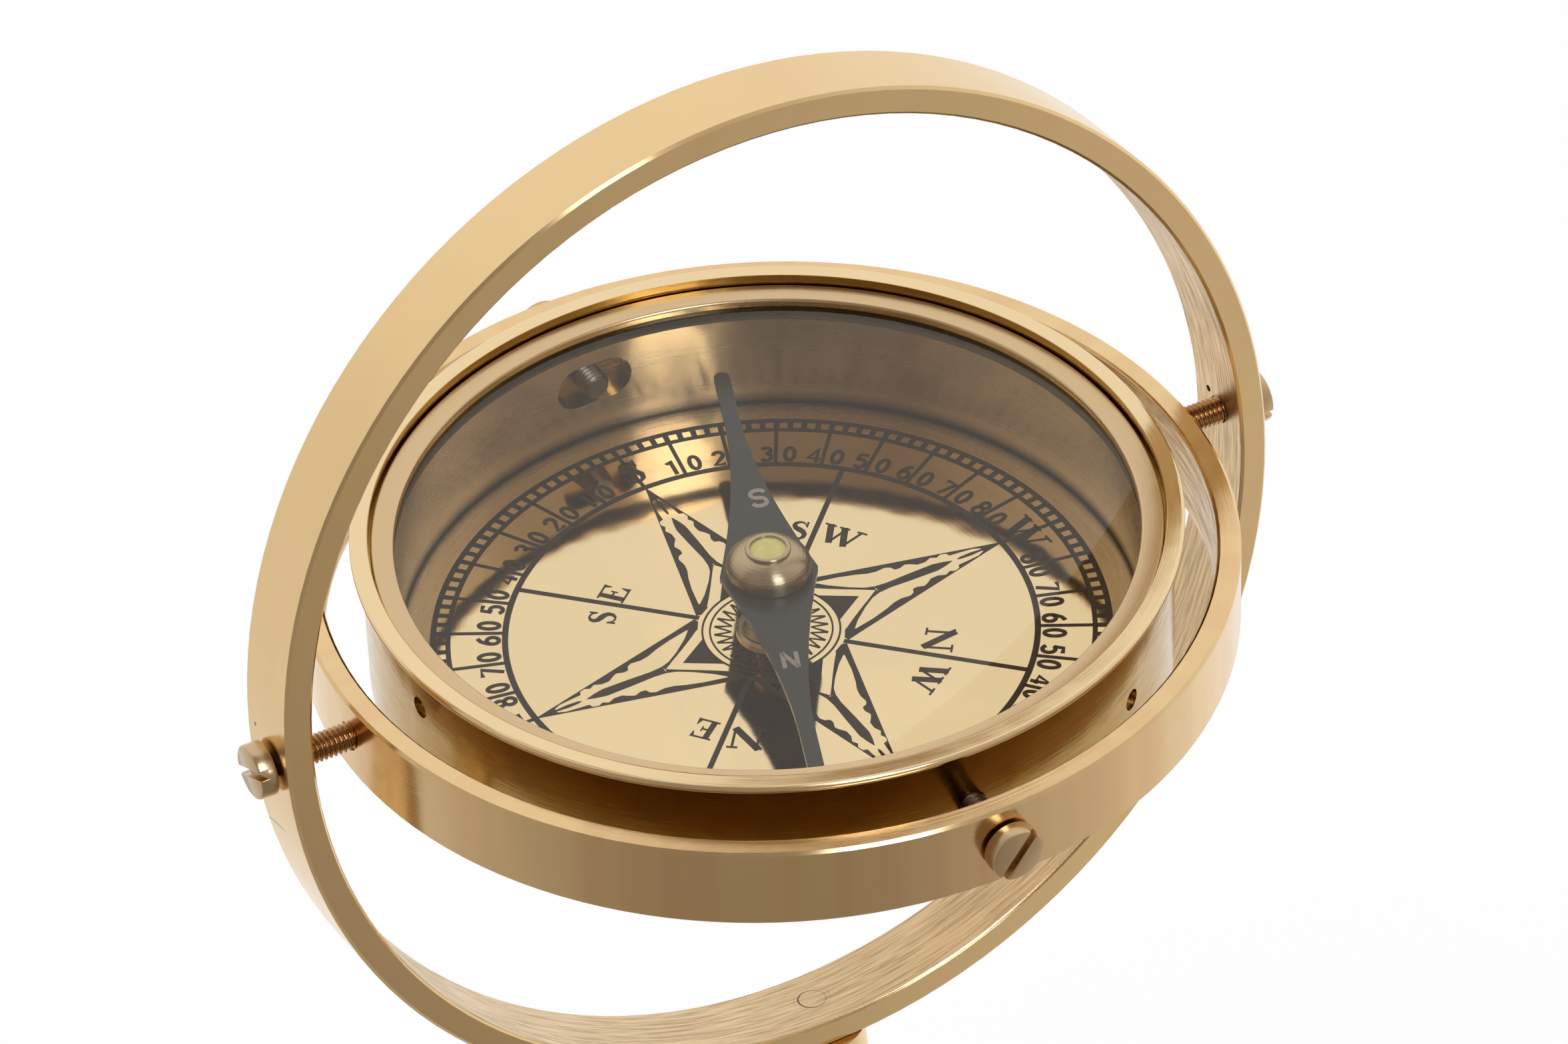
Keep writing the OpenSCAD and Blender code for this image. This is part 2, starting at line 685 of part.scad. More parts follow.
felt_pad();
foot();
foot_washer();
foot_screw();
stem();
ring_seat();
ring_stud();
outer_ring();
outer_pivot_screw_left();
outer_pivot_screw_right();
middle_ring();
inner_pivot_screw_front();
inner_pivot_screw_back();
bowl_case();
case_set_screws();
bowl_liner();
dial_plate();
dial_inlay();
pivot_post();
post_nut();
pivot_pin();
glass_gasket();
glass();
bezel();
needle();
needle_cap();
cap_jewel();
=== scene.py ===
import json
from math import atan2, cos, pi, radians, sin

import bpy
from mathutils import Matrix, Vector


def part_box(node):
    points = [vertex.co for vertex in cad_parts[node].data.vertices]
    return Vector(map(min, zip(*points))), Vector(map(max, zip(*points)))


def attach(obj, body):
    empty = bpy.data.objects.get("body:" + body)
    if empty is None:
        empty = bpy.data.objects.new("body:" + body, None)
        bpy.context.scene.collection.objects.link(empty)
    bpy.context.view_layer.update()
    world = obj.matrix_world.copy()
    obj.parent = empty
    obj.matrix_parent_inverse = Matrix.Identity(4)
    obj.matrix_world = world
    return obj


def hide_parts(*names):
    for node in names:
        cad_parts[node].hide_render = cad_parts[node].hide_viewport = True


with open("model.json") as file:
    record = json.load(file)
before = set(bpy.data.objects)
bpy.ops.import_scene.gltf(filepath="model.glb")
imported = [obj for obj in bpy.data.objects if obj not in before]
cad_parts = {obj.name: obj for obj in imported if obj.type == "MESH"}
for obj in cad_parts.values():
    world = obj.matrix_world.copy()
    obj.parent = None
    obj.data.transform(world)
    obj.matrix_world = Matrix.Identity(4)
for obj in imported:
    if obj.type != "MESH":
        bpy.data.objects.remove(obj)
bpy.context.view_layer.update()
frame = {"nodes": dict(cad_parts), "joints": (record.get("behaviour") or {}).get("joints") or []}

MM = 0.001


def joint(name):
    return next(j for j in frame["joints"] if j["name"] == name)


# Places in the frame: the gimbal's centre, the swing at which the bowl rests, and the turned pieces' own axes
CENTRE = Vector(joint("gimbal_swing")["pos_m"])
SWING = atan2(joint("bowl_swing")["axis"][2], joint("bowl_swing")["axis"][1])
HEADING = radians(69.6)
HOOP = Matrix.Translation(CENTRE)
BOWL = HOOP @ Matrix.Rotation(SWING, 4, "X")
NEEDLE = BOWL @ Matrix.Rotation(HEADING, 4, "Z")


def half_width(node):
    low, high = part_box(node)
    return (high[0] - low[0]) / 2


# Sizes that the frame gives, in metres
RING_OUT = half_width("outer_ring")
MID_OUT = half_width("middle_ring")

# Sizes repeated from the solids, in millimetres
HOOP_IN = 71.0
MID_IN = 60.3
LIP_IN = 53.5
LIP_LOW = 9.6
LINER_IN = 50.35
DIAL_Z = -9.0
NEEDLE_TOP = 1.05
SCREW_R = 2.0
HEAD_R = 3.8
HEAD_H = 2.6
HEAD_GAP = 0.4
RIGHT_HEAD_GAP = 0.1
SLOT_W = 1.2
SLOT_T = 1.3
OUTER_TIP = 60.5
INNER_TIP = 48.95

# Sizes of the screws' threads and bevels, which the solids leave out, in millimetres
SCREW_PITCH = 0.7
SCREW_DEPTH = 0.4
SCREW_POINT = 0.5
SHANK_SINK = 0.05
HEAD_BEVEL = 0.3
HEAD_FOOT_BEVEL = 0.15
SLOT_EDGE = 0.09

# Outer radius of the printed degree track in millimetres; the card is polished inside it and dull outside
TRACK_OUT = 46.3


# Shader helpers
def node(tree, kind, inputs=None, **settings):
    made = tree.nodes.new("ShaderNode" + kind)
    for key, value in settings.items():
        setattr(made, key, value)
    for key, value in (inputs or {}).items():
        if isinstance(value, bpy.types.NodeSocket):
            tree.links.new(value, made.inputs[key])
        else:
            made.inputs[key].default_value = value
    return made


def calc(tree, operation, a, b=0.0):
    return node(tree, "Math", {0: a, 1: b}, operation=operation).outputs[0]


def remap(tree, value, low, high, to_low, to_high):
    made = node(tree, "MapRange", {"Value": value, "From Min": low, "From Max": high,
                                   "To Min": to_low, "To Max": to_high})
    return made.outputs["Result"]


def mix(tree, factor, a, b):
    """Mixes two colours: they go into the node's inputs 6 and 7, and the result is its output 2."""
    made = node(tree, "Mix", data_type="RGBA")
    for socket, value in ((made.inputs[0], factor), (made.inputs[6], a), (made.inputs[7], b)):
        if isinstance(value, bpy.types.NodeSocket):
            tree.links.new(value, socket)
        else:
            socket.default_value = value
    return made.outputs[2]


def noise(tree, vector, scale, detail=3.0, roughness=0.55):
    made = node(tree, "TexNoise", {"Vector": vector, "Scale": scale, "Detail": detail,
                                   "Roughness": roughness})
    return made.outputs["Fac"]


def new_material(name):
    material = bpy.data.materials.new(name)
    material.use_nodes = True
    material.node_tree.nodes.clear()
    return material, material.node_tree


def finish_material(tree, shader):
    node(tree, "OutputMaterial", {"Surface": shader.outputs[0]})


def rgba(colour):
    return (*colour, 1.0)


def place_of(tree, turn):
    """Coordinates about the gimbal's centre, turned so that the piece's own axis is Z."""
    coords = node(tree, "TexCoord").outputs["Object"]
    return node(tree, "Mapping", {"Vector": coords, "Location": CENTRE, "Rotation": turn},
                vector_type="TEXTURE").outputs[0]


def radius_of(tree, x, y):
    return calc(tree, "SQRT", calc(tree, "ADD", calc(tree, "MULTIPLY", x, x), calc(tree, "MULTIPLY", y, y)))


def swirl_of(tree, local, along, across):
    """Coordinates that run round the axis: slow along the turning marks, fast across them."""
    x, y, z = node(tree, "SeparateXYZ", {0: local}).outputs
    radius = radius_of(tree, x, y)
    safe = calc(tree, "MAXIMUM", radius, 1e-5)
    return node(tree, "CombineXYZ", {
        0: calc(tree, "MULTIPLY", calc(tree, "DIVIDE", x, safe), along),
        1: calc(tree, "MULTIPLY", calc(tree, "DIVIDE", y, safe), along),
        2: calc(tree, "MULTIPLY", calc(tree, "ADD", z, radius), across)}).outputs[0]


# Masks, which say where a second finish, dark marks or painted shade lie; their lengths are in millimetres
MASK_EDGE = 0.05
# How far a mask reaches past the surface that it marks
MASK_CLEAR = 0.1
# How far in from a bore's radius the wall's painted shade begins, and where it is whole
WALL_BEGINS = 14.0
WALL_WHOLE = 2.0


def fading(tree, value, begin, end, full=1.0):
    """Full up to the beginning and none from the end on."""
    return remap(tree, value, begin * MM, end * MM, full, 0.0)


def rising(tree, value, begin, end):
    """None up to the beginning and one from the end on."""
    return remap(tree, value, begin * MM, end * MM, 0.0, 1.0)


def below(tree, value, limit):
    """One where a length is less than a limit."""
    return fading(tree, value, limit - MASK_EDGE, limit + MASK_EDGE)


def inside(limit):
    """Marks what lies nearer to the axis than a radius."""
    def mask(tree, local):
        x, y, _ = node(tree, "SeparateXYZ", {0: local}).outputs
        return below(tree, radius_of(tree, x, y), limit)
    return mask


def wall_and_bore(radius, height):
    """Marks a wall below a height and the bore of a radius above it, but not the underside: where shade is
    painted.
    """
    def mask(tree, local):
        x, y, z = node(tree, "SeparateXYZ", {0: local}).outputs
        low = below(tree, z, height)
        wall = rising(tree, radius_of(tree, x, y), radius - WALL_BEGINS, radius - WALL_WHOLE)
        bore = calc(tree, "MULTIPLY", inside(radius)(tree, local), calc(tree, "SUBTRACT", 1.0, low))
        return calc(tree, "MAXIMUM", bore, calc(tree, "MULTIPLY", low, wall))
    return mask


def outside(limit):
    """Marks what lies farther from the axis than a radius."""
    def mask(tree, local):
        return calc(tree, "SUBTRACT", 1.0, inside(limit)(tree, local))
    return mask


def painted_corner_shade(radius, height, reach):
    """Marks the corner where a radius meets a height, fading over a reach: painted shade in that corner."""
    def mask(tree, local):
        x, y, z = node(tree, "SeparateXYZ", {0: local}).outputs
        out = calc(tree, "SUBTRACT", radius_of(tree, x, y), radius * MM)
        up = calc(tree, "SUBTRACT", z, height * MM)
        return fading(tree, radius_of(tree, out, up), 0.0, reach)
    return mask


# Blemishes of the hoop: the way to the joint of its bar, how much the joint bends, and a pit's place
SEAM_WAY = radians(188.5)
SEAM_BEND_PER_M = 28.6
PIT_PLACE = (-74.86, 4.63, -3.52)
# Where a blemish of one side begins and is whole, so that the opposite side has none
ONE_SIDE = (-50.0, -60.0)


def hoop_marks(tree, local):
    """Marks the joint of the hoop's bar, a pit beside it, and the stud's end at the hoop's lowest place."""
    x, z, back = node(tree, "SeparateXYZ", {0: local}).outputs
    y = calc(tree, "MULTIPLY", back, -1.0)
    level = calc(tree, "SUBTRACT", calc(tree, "MULTIPLY", z, cos(SEAM_WAY)),
                 calc(tree, "MULTIPLY", x, sin(SEAM_WAY)))
    bend = calc(tree, "MULTIPLY", calc(tree, "MULTIPLY", y, y), SEAM_BEND_PER_M)
    gap = calc(tree, "ABSOLUTE", calc(tree, "SUBTRACT", level, bend))
    seam = fading(tree, gap, 0.08, 0.2, full=0.8)
    seam = calc(tree, "MULTIPLY", seam, rising(tree, x, *ONE_SIDE))
    seam = calc(tree, "MULTIPLY", seam, rising(tree, y, -0.3, 0.6))
    pit_place = tuple(c * MM for c in PIT_PLACE)
    pit_way = node(tree, "VectorMath", {0: local, 1: pit_place}, operation="DISTANCE")
    pit = fading(tree, pit_way.outputs["Value"], 0.2, 0.4, full=0.9)
    off = calc(tree, "ABSOLUTE", calc(tree, "SUBTRACT", radius_of(tree, x, y), SCREW_R * MM))
    deeper = remap(tree, x, -SCREW_R * MM, SCREW_R * MM, 0.9, 0.2)
    ring = calc(tree, "MULTIPLY", fading(tree, off, 0.06, 0.18), deeper)
    ring = calc(tree, "MULTIPLY", ring, rising(tree, z, *ONE_SIDE))
    return calc(tree, "MAXIMUM", calc(tree, "MAXIMUM", seam, pit), ring)


# Tones, and how much darker stains and scratches are
BRASS = (0.82, 0.59, 0.31)
HOOP_TONE = (0.84, 0.605, 0.315)
PALE = (0.86, 0.66, 0.39)
# Painted shade: the darker tone of the case's wall under the lip and of the lip's bore
WALL_SHADE_TONE = (0.50, 0.315, 0.095)
# Dark tone of the hoop's real marks, and of the painted shade where the liner meets the card
MARK_AND_SHADE_TONE = (0.05, 0.035, 0.022)
STAINED = 0.84
SCRATCHED = 0.62

# How finely the patterns in the brass change, along the turning marks and across them
MARKS_ALONG = 3.0
BANDS_ALONG = 0.7
VEINS_ALONG = 11.0
SCRATCHES_ALONG = 9.0
MARKS_ACROSS = 3000.0
MARKS_IN_A_BAND = 9
STAIN_SCALE = 38.0
WAVE_SCALE = 70.0
# Where each pattern begins to show and where it is full
STAIN_RAMP = (0.35, 0.75)
VEIN_RAMP = (0.42, 0.62)
SCRATCH_RAMP = (0.42, 0.66)
# How high the waves and the marks stand, in metres
WAVE_HEIGHT = 0.0006
MARK_HEIGHT = 0.00006
# How much deeper the scratches are than the turning marks
SCRATCHES_DEEPER = 2.0

# Turns that bring each piece's axis to Z
TURN_HOOP = (pi / 2, 0, 0)
TURN_BOWL = (SWING, 0, 0)
TURN_NONE = (0, 0, 0)


def times_tone(tone, factor):
    return rgba(tuple(c * factor for c in tone))


def blend(tree, where, a, b):
    """The first value where the mask is none, the second where it is one."""
    kept = calc(tree, "MULTIPLY", a, calc(tree, "SUBTRACT", 1.0, where))
    return calc(tree, "ADD", kept, calc(tree, "MULTIPLY", b, where))


def scratched_finish(tree, local, tone, rough, strength):
    """Long scratches round the axis: their pattern, and the colour and roughness that they give."""
    scratches = swirl_of(tree, local, along=SCRATCHES_ALONG, across=MARKS_ACROSS)
    lines = noise(tree, scratches, scale=1.0, roughness=0.6)
    shown = remap(tree, lines, *SCRATCH_RAMP, 0.0, strength)
    colour = mix(tree, shown, rgba(tone), times_tone(tone, SCRATCHED))
    polish = remap(tree, lines, 0.3, 0.7, rough - 0.08, rough + 0.12)
    return lines, colour, polish


def turned_brass(name, turn, tone, rough, mark=0.2, spread=0.1, stain=0.3, across=MARKS_ACROSS, second=None,
                 veins=None, marks_and_shade=None, drawn=0.0):
    """Brass finished on a lathe or with a belt: fine marks round the axis, stains and soft waves.

    A second finish, where a mask marks the piece, has a tone, a roughness and longer scratches. Veins are
    soft stripes of another tone along the axis, and marks_and_shade is a mask of darkened places: real marks
    on the hoop, and painted shade where the liner meets the card. Drawn marks stretch the reflections across
    the turning.
    """
    material, tree = new_material(name)
    local = place_of(tree, turn)
    fine = swirl_of(tree, local, along=MARKS_ALONG, across=across)
    coarse = swirl_of(tree, local, along=BANDS_ALONG, across=across / MARKS_IN_A_BAND)
    marks = noise(tree, fine, scale=1.0, detail=4.0, roughness=0.65)
    bands = noise(tree, coarse, scale=1.0, detail=2.0)
    patches = noise(tree, local, scale=STAIN_SCALE, detail=4.0, roughness=0.6)
    waves = noise(tree, local, scale=WAVE_SCALE, detail=2.0)
    colour = mix(tree, remap(tree, patches, *STAIN_RAMP, 0.0, stain), rgba(tone), times_tone(tone, STAINED))
    if veins:
        stripes = noise(tree, swirl_of(tree, local, along=VEINS_ALONG, across=0.0), scale=1.0, detail=1.0)
        colour = mix(tree, remap(tree, stripes, *VEIN_RAMP, 0.0, 1.0), colour, rgba(veins))
    polish = remap(tree, calc(tree, "ADD", marks, calc(tree, "MULTIPLY", bands, 0.6)), 0.5, 1.1,
                   max(rough - spread / 2, 0.03), rough + spread / 2)
    height = marks
    if second:
        mask, *finish = second
        where = mask(tree, local)
        lines, other_colour, other_polish = scratched_finish(tree, local, *finish)
        colour = mix(tree, where, colour, other_colour)
        polish = blend(tree, where, polish, other_polish)
        scratches = calc(tree, "MULTIPLY", calc(tree, "MULTIPLY", lines, SCRATCHES_DEEPER), where)
        height = calc(tree, "ADD", marks, scratches)
    soft = node(tree, "Bump", {"Height": waves, "Strength": 0.25, "Distance": WAVE_HEIGHT})
    bump = node(tree, "Bump", {"Height": height, "Strength": mark, "Distance": MARK_HEIGHT,
                               "Normal": soft.outputs[0]})
    # Darkened places: real marks, and painted shade in corners
    if marks_and_shade:
        colour = mix(tree, marks_and_shade(tree, local), colour, rgba(MARK_AND_SHADE_TONE))
    shader = node(tree, "BsdfPrincipled", {"Base Color": colour, "Metallic": 1.0, "Roughness": polish,
                                           "Normal": bump.outputs[0]})
    if drawn:
        shader.inputs["Anisotropic"].default_value = drawn
        shader.inputs["Anisotropic Rotation"].default_value = 0.25
        tangent = node(tree, "Tangent", direction_type="RADIAL", axis="Z")
        tree.links.new(tangent.outputs[0], shader.inputs["Tangent"])
    finish_material(tree, shader)
    return material


def plain(name, colour, rough, metallic=0.0, scale=600.0, bump=0.1, spread=0.06, shade=0.85, shine=0.5):
    """A finish with fine mottling in its colour, gloss and height."""
    material, tree = new_material(name)
    coords = node(tree, "TexCoord").outputs["Object"]
    grain = noise(tree, coords, scale)
    tint = mix(tree, grain, times_tone(colour, shade), rgba(colour))
    relief = node(tree, "Bump", {"Height": grain, "Strength": bump, "Distance": 0.00005})
    shader = node(tree, "BsdfPrincipled", {
        "Base Color": tint, "Metallic": metallic, "Specular IOR Level": shine, "Normal": relief.outputs[0],
        "Roughness": remap(tree, grain, 0.3, 0.7, rough - spread / 2, rough + spread / 2)})
    finish_material(tree, shader)
    return material


def glass_material():
    """Clear flat glass: it lets light straight through and mirrors a little more at a slant."""
    material, tree = new_material("clear_glass")
    front = calc(tree, "SUBTRACT", 1.0, node(tree, "NewGeometry").outputs["Backfacing"])
    fresnel = node(tree, "Fresnel", {"IOR": 1.5}).outputs[0]
    mirror = node(tree, "BsdfGlossy", {"Color": (1.0, 0.94, 0.86, 1), "Roughness": 0.0})
    through = node(tree, "BsdfTransparent", {"Color": (0.985, 0.99, 0.98, 1)})
    both = node(tree, "MixShader", {0: calc(tree, "MULTIPLY", fresnel, front),
                                    1: through.outputs[0], 2: mirror.outputs[0]})
    finish_material(tree, both)
    return material


def felt_material():
    material, tree = new_material("green_felt")
    coords = node(tree, "TexCoord").outputs["Object"]
    fibres = noise(tree, coords, scale=1800.0, detail=6.0, roughness=0.7)
    colour = mix(tree, fibres, rgba((0.02, 0.06, 0.03)), rgba((0.07, 0.16, 0.08)))
    relief = node(tree, "Bump", {"Height": fibres, "Strength": 0.8, "Distance": 0.0003})
    shader = node(tree, "BsdfPrincipled", {"Base Color": colour, "Roughness": 0.95, "Sheen Weight": 0.4,
                                           "Sheen Roughness": 0.5, "Normal": relief.outputs[0]})
    finish_material(tree, shader)
    return material


def jewel_material():
    material, tree = new_material("yellow_jewel")
    coords = node(tree, "TexCoord").outputs["Object"]
    cloud = noise(tree, coords, scale=700.0)
    colour = mix(tree, cloud, rgba((0.46, 0.39, 0.08)), rgba((0.76, 0.66, 0.20)))
    shader = node(tree, "BsdfPrincipled", {"Base Color": colour, "Roughness": 0.12, "Coat Weight": 0.6,
                                           "Subsurface Weight": 0.3, "Subsurface Scale": 0.001,
                                           "Subsurface Radius": (1.0, 1.0, 0.4)})
    finish_material(tree, shader)
    return material


def dress(material, *nodes):
    for name in nodes:
        slots = frame["nodes"][name].data.materials
        if len(slots) == 0:
            slots.append(material)
        for index in range(len(slots)):
            slots[index] = material


# Each second finish: where it lies, its tone, its roughness and how strong its scratches are
hoop_brass = turned_brass("hoop_brass", TURN_HOOP, HOOP_TONE, 0.16, mark=0.25, marks_and_shade=hoop_marks,
                          second=(inside(HOOP_IN + MASK_CLEAR), (0.80, 0.60, 0.36), 0.34, 0.9))
ring_brass = turned_brass("ring_brass", TURN_BOWL, BRASS, 0.15, mark=0.25, veins=(0.785, 0.53, 0.285),
                          second=(inside(MID_IN + MASK_CLEAR), (0.74, 0.54, 0.31), 0.30, 0.8))
# The case's wall under the lip and the lip's bore by the bezel take a darker tone: painted shade
case_brass = turned_brass("case_brass", TURN_BOWL, PALE, 0.14, mark=0.15,
                          second=(wall_and_bore(LIP_IN + MASK_CLEAR, LIP_LOW - MASK_CLEAR), WALL_SHADE_TONE, 0.13, 0.3))
# The liner darkens towards its foot on the card: painted shade
liner_brass = turned_brass("liner_brass", TURN_BOWL, (0.53, 0.41, 0.27), 0.26, mark=0.0, spread=0.08,
                           marks_and_shade=painted_corner_shade(LINER_IN, DIAL_Z, 2.2), drawn=0.9)
bezel_brass = turned_brass("bezel_brass", TURN_BOWL, (0.68, 0.49, 0.28), 0.26, mark=0.15)
# The card darkens towards the liner's foot: painted shade
card_brass = turned_brass("card_brass", TURN_BOWL, PALE, 0.07, mark=0.04, spread=0.04, stain=0.15,
                          marks_and_shade=painted_corner_shade(LINER_IN, DIAL_Z, 0.8),
                          second=(outside(TRACK_OUT + MASK_EDGE), (0.72, 0.54, 0.33), 0.2, 0.3))
stand_brass = turned_brass("stand_brass", TURN_NONE, PALE, 0.15, mark=0.2)
cap_brass = turned_brass("cap_brass", TURN_BOWL, (0.50, 0.375, 0.235), 0.28, mark=0.1, across=6000.0,
                         drawn=0.8)
thread_brass = plain("thread_brass", (0.52, 0.31, 0.15), 0.18, metallic=1.0, scale=900.0, shade=0.7)
# The inner screws' threads: rougher, and a darker copy of the thread's brass that paints the shade of the gap
# between case and ring
dull_shaded_thread = plain("dull_shaded_thread", (0.22, 0.17, 0.115), 0.35, metallic=1.0, scale=900.0, shade=0.7)
screw_brass = plain("screw_brass", (0.64, 0.465, 0.27), 0.25, metallic=1.0, scale=900.0)
steel = plain("bright_steel", (0.55, 0.55, 0.56), 0.25, metallic=1.0)
needle_steel = plain("blued_steel", (0.036, 0.032, 0.028), 0.22, metallic=0.1, scale=400.0, bump=0.03,
                     shine=0.3)
print_ink = plain("print_ink", (0.032, 0.019, 0.013), 0.5, scale=1500.0, shine=0.2)
letter_paint = plain("letter_paint", (0.28, 0.22, 0.19), 0.5, scale=1500.0)
putty = plain("gasket_putty", (0.10, 0.06, 0.015), 0.8, scale=900.0, bump=0.6, shine=0.1)

dress(hoop_brass, "outer_ring", "ring_seat", "ring_stud")
dress(ring_brass, "middle_ring")
dress(case_brass, "bowl_case")
dress(screw_brass, "case_set_screws")
dress(liner_brass, "bowl_liner")
dress(bezel_brass, "bezel")
dress(card_brass, "dial_plate")
dress(stand_brass, "foot", "stem")
dress(cap_brass, "needle_cap", "pivot_post")
dress(steel, "pivot_pin", "foot_screw", "foot_washer", "post_nut")
dress(needle_steel, "needle")
dress(jewel_material(), "cap_jewel")
dress(putty, "glass_gasket")
dress(glass_material(), "glass")
dress(felt_material(), "felt_pad")


# Mesh helpers
def add_mesh(name, points, faces, place, material, body, smooth=30):
    """A mesh in millimetres of its own place, moved to the frame and put on a body."""
    mesh = bpy.data.meshes.new(name)
    mesh.from_pydata([place @ (Vector(p) * MM) for p in points], [], faces)
    mesh.materials.append(material)
    mesh.polygons.foreach_set("use_smooth", [True] * len(mesh.polygons))
    mesh.set_sharp_from_angle(angle=radians(smooth))
    mesh.update()
    made = bpy.data.objects.new(name, mesh)
    bpy.context.scene.collection.objects.link(made)
    if body:
        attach(made, body)
    return made


def tube_faces(rows, steps):
    """Faces between rows of points that each go once round in steps, and the faces of both ends."""
    faces = [(a * steps + i, a * steps + (i + 1) % steps, (a + 1) * steps + (i + 1) % steps,
              (a + 1) * steps + i) for a in range(rows - 1) for i in range(steps)]
    faces.append(tuple(reversed(range(steps))))
    faces.append(tuple(range((rows - 1) * steps, rows * steps)))
    return faces


def lathe(profile, steps=64):
    """Points and faces of (x, radius) pairs turned about X."""
    points = [(x, r * cos(2 * pi * i / steps), r * sin(2 * pi * i / steps))
              for x, r in profile for i in range(steps)]
    return points, tube_faces(len(profile), steps)


# How steep a thread's sides are: 1 would leave no flat at its root
SIDE_SLOPE = 1.25


def threaded_rod(start, end, steps=40, per_pitch=8):
    """Points and faces of a thread along X, with a short point at its start."""
    rows = int((end - start) / SCREW_PITCH * per_pitch)
    points = []
    for row in range(rows + 1):
        x = start + (end - start) * row / rows
        for i in range(steps):
            phase = (x / SCREW_PITCH - i / steps) % 1.0
            tooth = min(1.0, abs(2 * phase - 1) * SIDE_SLOPE)
            limit = SCREW_R - max(0.0, SCREW_POINT - (x - start))
            radius = min(SCREW_R - SCREW_DEPTH * tooth, limit)
            points.append((x, radius * cos(2 * pi * i / steps), radius * sin(2 * pi * i / steps)))
    return points, tube_faces(rows + 1, steps)


def box_between(low, high):
    """Points and faces of a box between two opposite corners."""
    points = [(x, y, z) for x in (low[0], high[0]) for y in (low[1], high[1]) for z in (low[2], high[2])]
    return points, [(0, 1, 3, 2), (4, 6, 7, 5), (0, 4, 5, 1), (2, 3, 7, 6), (0, 2, 6, 4), (1, 5, 7, 3)]


def applied(made, **modifiers):
    """Replaces an object's mesh by what its modifiers make of it."""
    for kind, settings in modifiers.items():
        modifier = made.modifiers.new(kind, kind.upper())
        for key, value in settings.items():
            setattr(modifier, key, value)
    depsgraph = bpy.context.evaluated_depsgraph_get()
    mesh = bpy.data.meshes.new_from_object(made.evaluated_get(depsgraph))
    made.modifiers.clear()
    made.data = mesh
    mesh.set_sharp_from_angle(angle=radians(35))
    return made


def pivot_screw(node_name, place, body, tip, seat, slot_way, gap=HEAD_GAP, thread=thread_brass):
    """A slotted cheese-head screw along the place's X axis, with its thread cut.

    Its thread begins at the tip, its head stands off the seat by the gap, and its slot is turned by the
    slot's way in degrees.
    """
    base = seat + gap
    top = base + HEAD_H
    beyond = 1.0
    place = place @ Matrix.Rotation(radians(slot_way), 4, "X")
    shank = add_mesh(node_name + "_thread", *threaded_rod(tip, base + SHANK_SINK), place, thread, body)
    profile = [(base, HEAD_R - HEAD_FOOT_BEVEL), (base + HEAD_FOOT_BEVEL, HEAD_R), (top - HEAD_BEVEL, HEAD_R),
               (top - HEAD_BEVEL / 3, HEAD_R - HEAD_BEVEL / 3), (top, HEAD_R - HEAD_BEVEL)]
    head = add_mesh(node_name + "_head", *lathe(profile), place, screw_brass, body)
    slot_low = (top - SLOT_T, -HEAD_R - beyond, -SLOT_W / 2)
    slot_high = (top + beyond, HEAD_R + beyond, SLOT_W / 2)
    cutter = add_mesh(node_name + "_cutter", *box_between(slot_low, slot_high), place, screw_brass, None)
    applied(head, boolean={"object": cutter, "operation": "DIFFERENCE", "solver": "EXACT"},
            bevel={"width": SLOT_EDGE * MM, "segments": 2, "limit_method": "ANGLE",
                   "angle_limit": radians(40)})
    bpy.data.objects.remove(cutter)
    for piece in (shank, head):
        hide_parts(node_name)


quarter = Matrix.Rotation(pi / 2, 4, "Z")
pivot_screw("outer_pivot_screw_right", HOOP, "stand", tip=OUTER_TIP, seat=RING_OUT / MM, slot_way=20,
            gap=RIGHT_HEAD_GAP)
pivot_screw("outer_pivot_screw_left", HOOP @ quarter @ quarter, "stand", tip=OUTER_TIP, seat=RING_OUT / MM,
            slot_way=20)
pivot_screw("inner_pivot_screw_back", BOWL @ quarter, "gimbal", tip=INNER_TIP, seat=MID_OUT / MM,
            slot_way=35, thread=dull_shaded_thread)
pivot_screw("inner_pivot_screw_front", BOWL @ quarter.inverted(), "gimbal", tip=INNER_TIP,
            seat=MID_OUT / MM, slot_way=52, thread=dull_shaded_thread)


# The printed card, in millimetres on the card's face: +Y is the card's south
PRINT_T = 0.05
CIRCLE_R = 36.1
CIRCLE_W = 0.85
# The degree track's inner radius, and the ring of open windows in it
TRACK_IN = 43.5
WINDOW_IN = 44.2
WINDOW_OUT = 45.5
WINDOW_STEP = 2.5
WINDOW_W = 1.15
# Spokes from the circle to the track, and diagonals from the star's notches to the circle
SPOKE_W = 0.55
DIAGONAL_W = 0.75
NOTCH_R = 11.0
# How far a spoke or a diagonal runs on under the ring or the star where it ends
SPOKE_OVERLAP = 0.1
DIAGONAL_OVERLAP = 0.8
# The small circle's two lines, and the zigzag inside them
SUN_OUT = 9.5
SUN_LINE_W = 0.28
SUN_INNER_OUT = 8.45
SUN_INNER_IN = 8.2
PETALS = 28
PETAL_LOW = 5.4
PETAL_TIP = 7.75
PETAL_LEAN = 3.0
PETAL_LOW_W = 0.2
PETAL_TIP_W = 0.32
NUMBER_R = 38.4
NUMBER_H = 3.2
NUMBER_SPLIT = 2.4
# Runs of the numbers 10 to 80: the angle where each starts, its sense, and how far it is printed off
NUMBER_RUNS = ((90, 1, 0.0), (90, -1, -0.5), (270, 1, 0.0), (270, -1, 0.0))
CARDINAL_R = 40.0
# Letters at the ends of the arms: height and angle of each
CARDINALS = (("S", 4.9, 90), ("N", 4.3, 270), ("W", 4.3, 0), ("E", 4.9, 180))
